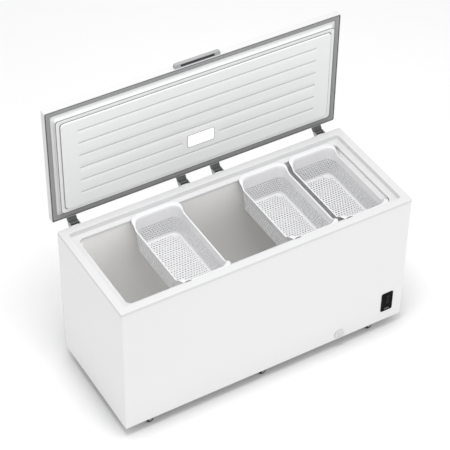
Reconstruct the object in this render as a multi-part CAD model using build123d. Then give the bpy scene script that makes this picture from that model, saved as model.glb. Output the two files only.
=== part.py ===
"""Chest freezer with a side-hung row of baskets, its lid standing open.

+Z is up, the front of the cabinet faces -Y and +X runs to the right as seen from the front.
The origin is on the floor, under the middle of the freezer with its lid open.
Every size is in millimetres.
"""
import os

from build123d import *

# ---- driving dimensions -------------------------------------------------------------------
CABINET_WIDTH = 1650.0
CABINET_DEPTH = 668.0
RIM_TOP = 854.0  # top of the collar above the floor
BASE_HEIGHT = 59.0  # underside of the cabinet above the floor
BACK_Y = 286.0  # rear face of the cabinet
FRONT_Y = BACK_Y - CABINET_DEPTH
SHEET = 1.0  # steel sheet
SHEET_INSET = 1.5  # the collar's lip stands this far proud of the sheet

RIM_SIDE = 41.0  # flat rim of the collar at the two ends
RIM_LONG = 44.0  # flat rim of the collar along front and back
LEDGE_DROP = 30.0  # the basket ledge below the rim
LEDGE_SIDE = 75.0  # outside of the cabinet to the inner edge of the ledge, at the ends
LEDGE_LONG = 74.0  # the same along front and back
COLLAR_WALL = 2.5
SKIRT = 1.7  # thickness of the collar's skirt inside the tub
COLLAR_LIP = 16.0  # how far the collar's outer lip covers the sheet

LINER = 1.5
LINER_GAP = 2.0  # the liner stands this far outside the ledge's inner lip
LINER_FLOOR = 130.0
STEP_X = 470.0  # the compressor step fills the tub to the right of this
STEP_TOP = 360.0
ROOM_X = 535.0  # compressor room: from here to the right-hand side
ROOM_TOP = 300.0

LID_LENGTH = 674.0
LID_THICK = 40.0
LID_OVER_BACK = 4.4  # closed lid past the cabinet's back face
SEAL_GAP = 0.6  # closed seal above the collar
HINGE_BACK = 34.8  # hinge axis behind the cabinet
HINGE_Z = 837.2
HINGE_PIN_R = 4.0
HINGE_X = (-718.0, -99.0, 99.0, 718.0)

PLUG_SIDE = 45.0  # lid edge to the plug's wall, at the ends
PLUG_LONG = 51.5
PLUG_STEP = 24.0  # from the first plug wall in to the raised panel
PLUG_FIRST = 18.6
PLUG_SECOND = 25.6
SEAL_WIDTH = 34.0
SEAL_THICK = 6.0
RIB_REACH = 672.0
RIB_FIRST = 154.0  # hinge edge of the lid to the first rib
RIB_PITCH = 76.0
RIB_COUNT = 6
LAMP_WIDTH = 156.0
LAMP_LENGTH = 79.0
LAMP_CENTRE = 230.0  # hinge edge of the lid to the lamp's centre

BASKET_X = (-323.0, 297.0, 598.0)
BASKET_WIDTH = 280.0
BASKET_LENGTH = 516.0
BASKET_TOP = 827.0
BASKET_RIM = 797.0  # side rims, lower than the two grips
BASKET_FLOOR = 648.0
BASKET_WALL = 2.4
BASKET_LOW_R = 26.0  # corner radius at the floor and at the top
BASKET_TOP_R = 50.0
BASKET_TAPER = 14.0  # each wall leans in this far from top to floor

CASTOR_X = (-661.0, 0.0, 661.0)
CASTOR_Y = (BACK_Y - 630.0, BACK_Y - 60.0)
CASTOR_TRAIL = 14.0
WHEEL_R = 20.0
WHEEL_WIDTH = 18.0
AXLE_R = 3.0
KING_PIN_R = 4.0
RUNNING = 0.05  # radial clearance of a turning fit

PANEL_CENTRE = (727.5, 187.0)  # control panel on the front, x and z
PANEL_SIZE = (71.0, 128.0)
DRAIN = (434.0, 94.0)  # drain outlet on the front, x and z
DRAIN_CAP_R = 29.0
DRAIN_FLOOR_Y = -200.0
COMPRESSOR = (668.0, 70.0)
INLET = (562.0, 84.0)  # supply lead inlet on the back, x and z
INLET_R = 4.0
VENT_Y = (-60.0, 200.0)  # vent opening in the right-hand side
VENT_Z = (95.0, 265.0)

COIL_R = 4.0  # evaporator tube around the tub
COIL_OFF = COIL_R + 2.4
COIL_BEND = 9.0
COIL_LEVELS = [165.0 + 55.0 * i for i in range(4)] + [390.0 + 68.0 * i for i in range(6)]
COIL_START = -540.0
COIL_SHIFT = 36.0
CONDENSER_R = 3.0  # condenser tube behind the front and left-hand sheets
CONDENSER_BEND = 12.0
CONDENSER_LEVELS = [150.0 + 115.0 * i for i in range(6)]
CONDENSER_END_X = 460.0
CONDENSER_END_Y = 230.0
COVER_SCREW_R = 1.6

HANDLE_REACH = 131.0  # half the handle's length
HANDLE_OUT = 24.0  # how far it stands off the lid's edge

HALF = CABINET_WIDTH / 2
CENTRE_Y = (FRONT_Y + BACK_Y) / 2
LEDGE_Z = RIM_TOP - LEDGE_DROP
SHEET_X = HALF - SHEET_INSET
SHEET_FRONT = FRONT_Y + SHEET_INSET
SHEET_TOP = RIM_TOP - 12.0
HINGE_Y = BACK_Y + HINGE_BACK
PAN_TOP = BASE_HEIGHT + 1.5
LIP_FOOT = RIM_TOP - COLLAR_LIP
PANEL_GAP = 0.1
KEY_Z = PANEL_CENTRE[1] - 48.0
LID_BACK = BACK_Y + LID_OVER_BACK
LID_FRONT = LID_BACK - LID_LENGTH
SEAL_Z = RIM_TOP + SEAL_GAP
LID_TOP = SEAL_Z + LID_THICK


def write(name, shape):
    """Save one sub-part."""
    export_step(shape, f"parts/{name}.step")


def block(x0, x1, y0, y1, z0, z1):
    """Box between two corners."""
    centre = Pos((x0 + x1) / 2, (y0 + y1) / 2, (z0 + z1) / 2)
    return centre * Box(x1 - x0, y1 - y0, z1 - z0)


def slab(x0, x1, y0, y1, z0, z1, radius):
    """Box with rounded upright edges."""
    outline = Pos((x0 + x1) / 2, (y0 + y1) / 2, z0) * RectangleRounded(x1 - x0, y1 - y0, radius)
    return extrude(outline, z1 - z0)


def inset_slab(side, long, z0, z1, radius):
    """Slab set in from the cabinet's outline by side at the ends and long at front and back."""
    return slab(-HALF + side, HALF - side, FRONT_Y + long, BACK_Y - long, z0, z1, radius)


def inset_block(side, long, z0, z1):
    """The same with square upright edges."""
    return block(-HALF + side, HALF - side, FRONT_Y + long, BACK_Y - long, z0, z1)


def rod(x, y, z, radius, length, axis="Z"):
    """Cylinder that starts at a point and runs along an axis."""
    turn = {"Z": Rot(0, 0, 0), "X": Rot(0, 90, 0), "Y": Rot(-90, 0, 0)}[axis]
    return Pos(x, y, z) * turn * Cylinder(radius, length, align=(Align.CENTER, Align.CENTER, Align.MIN))


def tube(points, radii, radius, bore=0.0):
    """Round tube along straight runs joined by arcs."""
    path = FilletPolyline(*points, radius=radii)
    start = Plane(path @ 0, z_dir=path % 0)
    pipe = sweep(start * Circle(radius), path=path)
    if bore:
        pipe -= sweep(start * Circle(bore), path=path)
    return pipe


def screws(places, head_r, head_h, shank_r, shank_l, axis, way):
    """Pan-head screws: the head stands off each place and the shank runs the other way."""
    out = []
    for x, y, z in places:
        if axis == "Y":
            head = rod(x, y if way > 0 else y - head_h, z, head_r, head_h, "Y")
            shank = rod(x, y - shank_l if way > 0 else y, z, shank_r, shank_l, "Y")
        else:
            head = rod(x, y, z if way > 0 else z - head_h, head_r, head_h)
            shank = rod(x, y, z - shank_l if way > 0 else z, shank_r, shank_l)
        out.append(head + shank)
    return out


# ---- cabinet ------------------------------------------------------------------------------
def outer_cabinet():
    """Folded steel front and ends, with openings for the controls, the drain and the vent."""
    outer = slab(-SHEET_X, SHEET_X, SHEET_FRONT, BACK_Y + 40, BASE_HEIGHT, SHEET_TOP, 5)
    inner = slab(-SHEET_X + SHEET, SHEET_X - SHEET, SHEET_FRONT + SHEET, BACK_Y + 41,
                 BASE_HEIGHT - 1, SHEET_TOP + 1, 4)
    shell = outer - inner - block(-HALF, HALF, BACK_Y - SHEET - 0.5, BACK_Y + 60, 0, RIM_TOP)
    shell -= block(-HALF, HALF, BACK_Y - 8, BACK_Y + 60, LIP_FOOT - PANEL_GAP, RIM_TOP)
    px, pz = PANEL_CENTRE
    wide, high = PANEL_SIZE
    shell -= block(px - wide / 2 + 5, px + wide / 2 - 5, FRONT_Y - 5, FRONT_Y + 5,
                   pz - high / 2 + 5, pz + high / 2 - 5)
    shell -= rod(DRAIN[0], FRONT_Y - 5, DRAIN[1], 16, 12, "Y")
    shell -= block(HALF - 5, HALF + 1, *VENT_Y, *VENT_Z)
    return shell


def rear_panel():
    """Flat back sheet with the opening of the compressor room."""
    sheet = block(-SHEET_X, SHEET_X, BACK_Y - 1.2, BACK_Y, PAN_TOP + 0.1, LIP_FOOT - PANEL_GAP)
    sheet -= block(ROOM_X + 20, HALF - 20, BACK_Y - 3, BACK_Y + 3, 80, 285)
    for x, y, z in cover_screw_places():
        sheet -= rod(x, y - 10, z, COVER_SCREW_R + RUNNING, 20, "Y")
    return sheet


def base_pan():
    """Steel floor pan with upturned edges inside the sheet."""
    side = SHEET_INSET + SHEET + 0.2
    outer = slab(-HALF + side, HALF - side, FRONT_Y + side, BACK_Y - 1.4, BASE_HEIGHT, PAN_TOP + 16, 4)
    inner = slab(-HALF + side + 1.2, HALF - side - 1.2, FRONT_Y + side + 1.2, BACK_Y - 2.6,
                 PAN_TOP, PAN_TOP + 17, 3)
    pan = outer - inner
    for x in CASTOR_X:
        for y in CASTOR_Y:
            pan -= rod(x, y, BASE_HEIGHT - 1, 6, 4)
    return pan


def collar_ring():
    """Section of the moulded top frame all round: outer lip, flat rim, step down and basket ledge."""
    lip = inset_slab(0, 0, LIP_FOOT, RIM_TOP, 7)
    lip = fillet(lip.edges().group_by(Axis.Z)[-1], 2.4)
    under = SHEET_INSET - 0.1
    frame = lip - inset_slab(under, under, LIP_FOOT - 1, RIM_TOP - 3, 5)
    frame -= inset_block(RIM_SIDE, RIM_LONG, RIM_TOP - 10, RIM_TOP + 1)
    step = inset_block(RIM_SIDE - COLLAR_WALL, RIM_LONG - COLLAR_WALL, LEDGE_Z - COLLAR_WALL, RIM_TOP - 2)
    step -= inset_block(RIM_SIDE, RIM_LONG, LEDGE_Z, RIM_TOP)
    step -= inset_block(LEDGE_SIDE, LEDGE_LONG, LEDGE_Z - 10, RIM_TOP)
    skirt = inset_block(LEDGE_SIDE - SKIRT, LEDGE_LONG - SKIRT, LEDGE_Z - 14, LEDGE_Z)
    skirt -= inset_block(LEDGE_SIDE, LEDGE_LONG, LEDGE_Z - 15, LEDGE_Z + 1)
    return frame + step + skirt


def collar():
    """Four rails of the top frame, mitred at the corners."""
    ring = collar_ring()
    reach = CABINET_DEPTH / 2
    near, far = -HALF + reach, HALF - reach
    plans = [
        [(-HALF, FRONT_Y), (HALF, FRONT_Y), (far, CENTRE_Y), (near, CENTRE_Y)],
        [(HALF, FRONT_Y), (HALF, BACK_Y), (far, CENTRE_Y)],
        [(HALF, BACK_Y), (-HALF, BACK_Y), (near, CENTRE_Y), (far, CENTRE_Y)],
        [(-HALF, BACK_Y), (-HALF, FRONT_Y), (near, CENTRE_Y)],
    ]
    rails = []
    for plan in plans:
        outline = Pos(0, 0, LEDGE_Z - 20) * make_face(Polyline(*plan, plan[0]))
        rails.append(ring & extrude(outline, 60))
    return rails


def tub(grow, top):
    """Space inside the liner, grown outwards by grow: the deep bay and the shelf over the step."""
    side = LEDGE_SIDE - LINER_GAP - grow
    long = LEDGE_LONG - LINER_GAP - grow
    y0, y1 = FRONT_Y + long, BACK_Y - long
    deep = block(-HALF + side, STEP_X + grow, y0, y1, LINER_FLOOR - grow, top)
    upper = block(-HALF + side, HALF - side, y0, y1, STEP_TOP - grow, top)
    return deep + upper


def inner_liner():
    """Sheet panels of the tub: floor, riser and shelf of the compressor step, and the walls."""
    x0, x1, x2 = -HALF + LEDGE_SIDE - LINER_GAP, STEP_X, HALF - LEDGE_SIDE + LINER_GAP
    y0, y1 = FRONT_Y + LEDGE_LONG - LINER_GAP, BACK_Y - LEDGE_LONG + LINER_GAP
    low, shelf, top = LINER_FLOOR - LINER, STEP_TOP - LINER, LEDGE_Z - COLLAR_WALL
    floor = block(x0, x1, y0, y1, low, LINER_FLOOR) - rod(DRAIN[0], DRAIN_FLOOR_Y, low - 5, 11, 20)
    panels = [
        floor,
        block(x1, x1 + LINER, y0, y1, low, shelf),
        block(x1, x2, y0, y1, shelf, STEP_TOP),
        block(x0 - LINER, x0, y0, y1, low, top),
        block(x2, x2 + LINER, y0, y1, shelf, top),
    ]
    for near, far in ((y0 - LINER, y0), (y1, y1 + LINER)):
        panels.append(block(x0 - LINER, x1 + LINER, near, far, low, top))
        panels.append(block(x1 + LINER, x2 + LINER, near, far, shelf, top))
    return panels


def coil_box(z):
    """Tube centre line around the tub at one level, as x and y limits."""
    out = LINER + COIL_OFF
    x1 = STEP_X + out if z < STEP_TOP else HALF - LEDGE_SIDE + LINER_GAP + out
    x0 = -(HALF - LEDGE_SIDE + LINER_GAP + out)
    return x0, x1, FRONT_Y + LEDGE_LONG - LINER_GAP - out, BACK_Y - LEDGE_LONG + LINER_GAP + out


def evaporator_coil():
    """One tube wound around the tub, level by level."""
    points = []
    for i, z in enumerate(COIL_LEVELS):
        x0, x1, y0, y1 = coil_box(z)
        start = COIL_START + COIL_SHIFT * i
        points += [(start, y1, z), (x0, y1, z), (x0, y0, z), (x1, y0, z), (x1, y1, z),
                   (start + COIL_SHIFT, y1, z)]
    return tube(points, COIL_BEND, COIL_R)


def coil_channels():
    """Grooves that the evaporator tube fills in the foam."""
    half = COIL_R + 0.6
    grooves = []
    for z in COIL_LEVELS:
        x0, x1, y0, y1 = coil_box(z)
        grooves.append(block(x0 - half, x1 + half, y0 - half, y1 + half, z - half, z + half))
    end = COIL_START + COIL_SHIFT * len(COIL_LEVELS)
    y1 = coil_box(COIL_LEVELS[0])[3]
    grooves.append(block(COIL_START - half - 4, end + half, y1 - half, y1 + half,
                         COIL_LEVELS[0] - half, COIL_LEVELS[-1] + half))
    return grooves


def condenser_points():
    """Corner points of the condenser tube against the front and left-hand sheets."""
    x0 = -SHEET_X + SHEET + CONDENSER_R + 0.4
    y0 = SHEET_FRONT + SHEET + CONDENSER_R + 0.4
    points = []
    for i, z in enumerate(CONDENSER_LEVELS):
        run = [(CONDENSER_END_X, y0, z), (x0, y0, z), (x0, CONDENSER_END_Y, z)]
        points += run if i % 2 == 0 else run[::-1]
    return points


def condenser_channels():
    """Grooves that the condenser tube fills in the foam, with room for its bends."""
    x0, y0, _ = condenser_points()[1]
    half = CONDENSER_R + 0.6
    bend = half + CONDENSER_BEND
    grooves = []
    for z in CONDENSER_LEVELS:
        grooves.append(block(x0 - half, CONDENSER_END_X + half, y0 - half, y0 + half, z - half, z + half))
        grooves.append(block(x0 - half, x0 + half, y0 - half, CONDENSER_END_Y + half, z - half, z + half))
        grooves.append(block(x0 - half, x0 + bend, y0 - half, y0 + bend, z - half, z + half))
    for i, (low, high) in enumerate(zip(CONDENSER_LEVELS, CONDENSER_LEVELS[1:])):
        if i % 2 == 0:
            grooves.append(block(x0 - half, x0 + half, CONDENSER_END_Y - bend, CONDENSER_END_Y + half,
                                 low - half, high + half))
        else:
            grooves.append(block(CONDENSER_END_X - bend, CONDENSER_END_X + half, y0 - half, y0 + half,
                                 low - half, high + half))
    return grooves


def condenser_coil():
    """One tube that runs to and fro behind the front and the left-hand sheet."""
    return tube(condenser_points(), CONDENSER_BEND, CONDENSER_R)


def foam_insulation():
    """Foam between the sheet and the tub, cut out around the compressor room and the tubes."""
    wall = SHEET_INSET + SHEET
    under_rim = RIM_TOP - 3.0
    foam = slab(-HALF + wall + 1.6, HALF - wall - 1.6, FRONT_Y + wall + 1.6, BACK_Y - 2.8,
                PAN_TOP, under_rim, 5)
    foam -= tub(LINER, RIM_TOP)
    foam -= inset_block(RIM_SIDE - COLLAR_WALL, RIM_LONG - COLLAR_WALL, LEDGE_Z - 4.3, RIM_TOP)
    foam -= block(ROOM_X - 1, HALF, FRONT_Y, BACK_Y, BASE_HEIGHT, ROOM_TOP + 1)
    for groove in coil_channels():
        foam -= groove
    for groove in condenser_channels():
        foam -= groove
    return foam - drain_path(11.4)


def room_bulkhead():
    """Bent sheet between the foam and the compressor room."""
    y0, y1 = FRONT_Y + SHEET_INSET + SHEET + 1.6, BACK_Y - 2.8
    wall = block(ROOM_X - 1, ROOM_X, y0, y1, PAN_TOP, ROOM_TOP + 1)
    roof = block(ROOM_X - 1, HALF - SHEET_INSET - SHEET - 1.6, y0, y1, ROOM_TOP, ROOM_TOP + 1)
    return wall + roof


# ---- drain --------------------------------------------------------------------------------
def drain_path(radius, bore=0.0):
    """Pipe from the tub's floor down and forward to the front panel."""
    x, z = DRAIN
    points = [(x, DRAIN_FLOOR_Y, LINER_FLOOR - LINER), (x, DRAIN_FLOOR_Y, z), (x, FRONT_Y + 3, z)]
    return tube(points, 20, radius, bore)


def drain_tube():
    """Drain pipe with its collar behind the front panel."""
    return drain_path(11.0, 9.0)


def drain_plug():
    """Rubber bung in the tub's floor, with a pull tab."""
    x, y = DRAIN[0], DRAIN_FLOOR_Y
    bung = rod(x, y, LINER_FLOOR - 11, 8.7, 12) + rod(x, y, LINER_FLOOR + 0.05, 17, 3)
    tab = block(x - 8, x + 8, y - 2, y + 2, LINER_FLOOR + 2, LINER_FLOOR + 15)
    tab = fillet(tab.edges().filter_by(Axis.Y).group_by(Axis.Z)[-1], 6)
    return bung + tab - rod(x, y - 5, LINER_FLOOR + 9, 3, 10, "Y")


def drain_cap():
    """Round cap that pulls off the drain outlet on the front."""
    x, z = DRAIN
    disc = rod(x, FRONT_Y - 6.5, z, DRAIN_CAP_R, 7.9, "Y")
    disc = fillet(disc.edges().group_by(Axis.Y)[0], 2.5)
    finger = rod(x, FRONT_Y - 7.5, z, 19, 3, "Y")
    finger -= block(x - 3.5, x + 3.5, FRONT_Y - 20, FRONT_Y, z - 30, z + 30)
    stem = rod(x, FRONT_Y + 1.4, z, 8.7, 18, "Y")
    return disc - finger + stem


# ---- cooling machinery --------------------------------------------------------------------
def compressor():
    """Welded steel pot with its feet bracket."""
    x, y = COMPRESSOR
    profile = [(0, 78), (62, 80), (84, 96), (90, 118), (90, 168), (84, 200), (60, 222), (0, 232)]
    outline = Polyline(*[(r, z) for r, z in profile]) + Line((0, 232), (0, 78))
    pot = revolve(Plane.XZ * make_face(outline), Axis.Z)
    weld = rod(0, 0, 138, 93, 5)
    pot = Pos(x, y, 0) * (pot + weld)
    pot += Pos(x, y, 78) * extrude(RectangleRounded(196, 118, 16), 3)
    for dx in (-84, 84):
        for dy in (-46, 46):
            pot -= rod(x + dx, y + dy, 70, 7.6, 20)
    return pot


def compressor_grommets():
    """Rubber feet through the pot's bracket."""
    x, y = COMPRESSOR
    out = []
    for dx in (-84, 84):
        for dy in (-46, 46):
            foot = rod(x + dx, y + dy, 66.6, 11, 11.3) + rod(x + dx, y + dy, 77, 7.4, 5)
            foot += rod(x + dx, y + dy, 81.1, 10, 4)
            out.append(foot - rod(x + dx, y + dy, 60, 4.2, 40))
    return out


def compressor_plate():
    """Carrier plate on the floor pan."""
    x, y = COMPRESSOR
    plate = block(x - 118, x + 118, y - 75, y + 75, PAN_TOP, PAN_TOP + 2)
    plate += block(x - 118, x - 114, y - 75, y + 75, PAN_TOP, PAN_TOP + 14)
    plate += block(x + 114, x + 118, y - 75, y + 75, PAN_TOP, PAN_TOP + 14)
    for dx in (-84, 84):
        for dy in (-46, 46):
            plate += rod(x + dx, y + dy, PAN_TOP + 1, 9, 5)
    return plate


def compressor_bolts():
    """Studs with washers and nuts that hold the grommets."""
    x, y = COMPRESSOR
    out = []
    for dx in (-84, 84):
        for dy in (-46, 46):
            stud = rod(x + dx, y + dy, PAN_TOP + 6, 3.8, 28)
            nut = Pos(x + dx, y + dy, 86.5) * extrude(RegularPolygon(6.5, 6), 5)
            washer = rod(x + dx, y + dy, 85.2, 9, 1.3)
            out.append(stud + nut + washer)
    return out


def relay_cover():
    """Plastic box over the starter relay, against the pot's side."""
    x, y = COMPRESSOR
    cover = block(x - 34, x + 34, y - 130, y - 93.5, 112, 176)
    return fillet(cover.edges().filter_by(Axis.Z), 6)


def filter_drier():
    """Copper drier cartridge."""
    x, y = ROOM_X + 30, 180.0
    body = rod(x, y, 120, 11, 90) + rod(x, y, 112, 5, 8) + rod(x, y, 210, 5, 8)
    return fillet(body.edges().filter_by(GeomType.CIRCLE).filter_by(lambda e: e.radius > 10), 3)


def refrigerant_tubes():
    """Suction and discharge tubes, as two solids."""
    x, y = COMPRESSOR
    suction = tube([(x + 64, y + 67, 190), (x + 64, y + 150, 190), (x + 64, y + 150, 270),
                    (x - 60, y + 150, 270)], 20, 4.5)
    discharge = tube([(ROOM_X + 30, 180, 112), (ROOM_X + 30, 180, 82), (ROOM_X + 30, 240, 82),
                      (ROOM_X + 100, 240, 82)], 14, 3.2)
    return [suction, discharge]


def vent_grille():
    """Louvred vent in the right-hand side."""
    x = HALF - SHEET_INSET
    y0, y1 = VENT_Y
    z0, z1 = VENT_Z
    frame = block(x, x + 1.5, y0 - 8, y1 + 8, z0 - 8, z1 + 8)
    frame += block(x - 6, x + 0.5, y0 + 0.2, y1 - 0.2, z0 + 0.2, z1 - 0.2)
    for i in range(10):
        z = z0 + 10 + 15.6 * i
        frame -= Pos(x - 1, (y0 + y1) / 2, z + 4) * Rot(0, -20, 0) * Box(30, y1 - y0 - 20, 7)
    return frame


def cover_screw_places():
    """Heads of the rear cover's screws."""
    return [(x, BACK_Y + 1.2, z) for x in (ROOM_X + 12, HALF - 14) for z in (74, 182, 291)]


def rear_cover():
    """Slotted plate over the back of the compressor room."""
    cover = block(ROOM_X + 5, HALF - 8, BACK_Y, BACK_Y + 1.2, 66, 298)
    for row in range(7):
        for column in range(4):
            x = ROOM_X + 40 + 60 * column
            z = 100 + 27 * row
            cover -= block(x - 22, x + 22, BACK_Y - 2, BACK_Y + 4, z - 4, z + 4)
    for x, y, z in cover_screw_places():
        cover -= rod(x, y - 10, z, COVER_SCREW_R + RUNNING, 20, "Y")
    return cover - rod(INLET[0], BACK_Y - 1, INLET[1], INLET_R, 4, "Y")


def cover_screws():
    """Screws of the rear cover."""
    return screws(cover_screw_places(), 4.5, 2.2, COVER_SCREW_R, 2.4, "Y", 1)


# ---- controls -----------------------------------------------------------------------------
def control_fascia():
    """Glossy rounded panel with its housing behind and the key's slot."""
    x, z = PANEL_CENTRE
    wide, high = PANEL_SIZE
    face = Pos(x, SHEET_FRONT, z) * extrude(Plane.XZ * RectangleRounded(wide, high, 9), 3)
    face = fillet(face.edges().group_by(Axis.Y)[0], 1.2)
    box = block(x - wide / 2 + 6, x + wide / 2 - 6, SHEET_FRONT - 0.5, SHEET_FRONT + 24,
                z - high / 2 + 6, z + high / 2 - 6)
    box -= block(x - wide / 2 + 8, x + wide / 2 - 8, SHEET_FRONT, SHEET_FRONT + 30,
                 z - high / 2 + 8, z + high / 2 - 8)
    return face + box - block(x - 15, x + 15, FRONT_Y - 8, FRONT_Y + 10, KEY_Z - 5, KEY_Z + 5)


def control_key():
    """Push key near the foot of the panel."""
    x = PANEL_CENTRE[0]
    cap = block(x - 14.6, x + 14.6, SHEET_FRONT - 3.6, SHEET_FRONT + 3, KEY_Z - 4.6, KEY_Z + 4.6)
    return fillet(cap.edges().group_by(Axis.Y)[0], 1)


def control_board():
    """Circuit board with its display lamps."""
    x, z = PANEL_CENTRE
    board = block(x - 26, x + 26, SHEET_FRONT + 12, SHEET_FRONT + 13.6, z - 55, z + 55)
    for i in range(5):
        board += block(x - 4, x + 4, SHEET_FRONT + 6, SHEET_FRONT + 12, z - 10 + 12 * i, z - 4 + 12 * i)
    return board + block(x - 5, x + 5, SHEET_FRONT + 8.2, SHEET_FRONT + 12, KEY_Z - 3, KEY_Z + 3)


# ---- hinges -------------------------------------------------------------------------------
def hinge_brackets():
    """Four brackets screwed to the back, each with two ears around the pin."""
    out = []
    for x in HINGE_X:
        plate = block(x - 31, x + 31, BACK_Y, BACK_Y + 2.5, 740, 835)
        for side in (-1, 1):
            ear = block(min(x + side * 27, x + side * 24), max(x + side * 27, x + side * 24),
                        BACK_Y, HINGE_Y, 780, HINGE_Z + 9)
            ear += rod(x + side * 27 if side < 0 else x + 24, HINGE_Y, HINGE_Z, 11, 3, "X")
            ear -= block(x - 40, x + 40, BACK_Y - 1, BACK_Y + 2, 836, 860)
            plate += ear
        plate -= rod(x - 40, HINGE_Y, HINGE_Z, HINGE_PIN_R, 80, "X")
        for z in (752, 768):
            for dx in (-12, 12):
                plate -= rod(x + dx, BACK_Y - 5, z, 2.6, 15, "Y")
        out.append(plate)
    return out


def hinge_pins():
    """Headed pins across the ears."""
    pins = []
    for x in HINGE_X:
        pin = rod(x - 27, HINGE_Y, HINGE_Z, HINGE_PIN_R, 54, "X")
        pin += rod(x - 29.5, HINGE_Y, HINGE_Z, 6.5, 2.5, "X") + rod(x + 27, HINGE_Y, HINGE_Z, 6.5, 2.5, "X")
        pins.append(pin)
    return pins


def hinge_screws():
    """Screws that hold the brackets to the back."""
    places = [(x + dx, BACK_Y + 2.5, z) for x in HINGE_X for dx in (-12, 12) for z in (752, 768)]
    return screws(places, 4.8, 2.6, 2.5, 2.4, "Y", 1)


def hinge_springs():
    """Coil springs around the pins, between the two halves of each knuckle."""
    coil = Helix(pitch=2.6, height=13.0, radius=7.0)
    wire = sweep(Plane(coil @ 0, z_dir=coil % 0) * Circle(0.9), path=coil)
    return [Pos(x - 6.5, HINGE_Y, HINGE_Z) * Rot(0, 90, 0) * wire for x in HINGE_X]


def hinge_arms():
    """Knuckles and straps that carry the lid, drawn with the lid closed."""
    y_edge = BACK_Y + LID_OVER_BACK
    z0 = RIM_TOP + SEAL_GAP + 3.0
    out = []
    for x in HINGE_X:
        arm = rod(x - 23.5, HINGE_Y, HINGE_Z, 11, 47, "X")
        web = Pos(x - 23.5, 0, 0) * extrude(Plane.YZ * make_face(Polyline(
            (HINGE_Y + 11, HINGE_Z), (HINGE_Y + 6, HINGE_Z + 14), (y_edge + 4, z0 + 26), (y_edge, z0 + 26),
            (y_edge, z0 - 2.5), (y_edge + 12, HINGE_Z + 9), (HINGE_Y - 9, HINGE_Z + 5),
            (HINGE_Y + 11, HINGE_Z))), 47)
        arm += web
        arm += block(x - 24, x + 24, y_edge, y_edge + 2.5, z0, z0 + 33)
        arm -= rod(x - 30, HINGE_Y, HINGE_Z, HINGE_PIN_R + RUNNING, 60, "X")
        arm -= rod(x - 8, HINGE_Y, HINGE_Z, 8.6, 16, "X")
        out.append(arm)
    return out


# ---- lid, drawn closed --------------------------------------------------------------------
def lid_slab(side, long, z0, z1, radius):
    """Slab set in from the lid's outline."""
    return slab(-HALF + side, HALF - side, LID_FRONT + long, LID_BACK - long, z0, z1, radius)


def lid_outer_panel():
    """Steel lid pan with rounded edges and a hem turned in under the seal."""
    outer = lid_slab(0, 0, SEAL_Z + 1.5, LID_TOP, 10)
    outer = fillet(outer.edges().group_by(Axis.Z)[-1], 7)
    inner = lid_slab(1, 1, SEAL_Z, LID_TOP - 1, 9)
    inner = fillet(inner.edges().group_by(Axis.Z)[-1], 6)
    hem = lid_slab(0.5, 0.5, SEAL_Z + 1.5, SEAL_Z + 2.5, 9) - lid_slab(2.6, 2.6, SEAL_Z, SEAL_Z + 5, 8)
    return outer - inner + hem


def lid_inner_liner():
    """Formed inner panel: flange, stepped plug and long shallow ribs around the lamp."""
    outer = (lid_slab(3, 3, SEAL_Z + SEAL_THICK, SEAL_Z + SEAL_THICK + LINER, 8)
             + lid_slab(PLUG_SIDE, PLUG_LONG, SEAL_Z - PLUG_FIRST, SEAL_Z + SEAL_THICK + 1, 16)
             + lid_slab(PLUG_SIDE + PLUG_STEP, PLUG_LONG + PLUG_STEP, SEAL_Z - PLUG_SECOND, SEAL_Z, 22))
    inner = (lid_slab(PLUG_SIDE + LINER, PLUG_LONG + LINER, SEAL_Z - PLUG_FIRST + LINER, SEAL_Z + 60, 15)
             + lid_slab(PLUG_SIDE + PLUG_STEP + LINER, PLUG_LONG + PLUG_STEP + LINER,
                        SEAL_Z - PLUG_SECOND + LINER, SEAL_Z + 60, 21))
    shell = outer - inner
    for x0, x1, y in rib_runs():
        groove = slab(x0, x1, y - 3.5, y + 3.5, SEAL_Z - PLUG_SECOND - 1, SEAL_Z - PLUG_SECOND + 2.6, 3.4)
        shell -= groove
        cover = slab(x0 - 1.4, x1 + 1.4, y - 4.9, y + 4.9, SEAL_Z - PLUG_SECOND + LINER,
                     SEAL_Z - PLUG_SECOND + 4.0, 4.8)
        shell += cover - groove
    return shell - lamp_pocket(0)


def rib_runs():
    """Ends and place of each rib; the second one from the hinges stops either side of the lamp."""
    for i in range(RIB_COUNT):
        y = LID_BACK - RIB_FIRST - RIB_PITCH * i
        if i == 1:
            yield -RIB_REACH, -104.0, y
            yield 104.0, RIB_REACH, y
        else:
            yield -RIB_REACH, RIB_REACH, y


def lamp_pocket(grow):
    """Rectangular hole that the lamp fills."""
    y = LID_BACK - LAMP_CENTRE
    return slab(-LAMP_WIDTH / 2 + 3 - grow, LAMP_WIDTH / 2 - 3 + grow, y - LAMP_LENGTH / 2 + 3 - grow,
                y + LAMP_LENGTH / 2 - 3 + grow, SEAL_Z - PLUG_SECOND - 3, SEAL_Z - 8, 5)


def lid_foam():
    """Foam that fills the lid."""
    body = lid_slab(1.2, 1.2, SEAL_Z + SEAL_THICK + LINER, LID_TOP - 1.2, 9)
    body = fillet(body.edges().group_by(Axis.Z)[-1], 6.5)
    body += lid_slab(PLUG_SIDE + 1.6, PLUG_LONG + 1.6, SEAL_Z - PLUG_FIRST + 1.6, SEAL_Z + 30, 15)
    body += lid_slab(PLUG_SIDE + PLUG_STEP + 1.6, PLUG_LONG + PLUG_STEP + 1.6,
                     SEAL_Z - PLUG_SECOND + 4.2, SEAL_Z + 30, 21)
    y = LID_BACK - LAMP_CENTRE
    return body - block(-LAMP_WIDTH / 2 - 2, LAMP_WIDTH / 2 + 2, y - LAMP_LENGTH / 2 - 2,
                        y + LAMP_LENGTH / 2 + 2, SEAL_Z - 40, SEAL_Z + 2)


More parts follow.
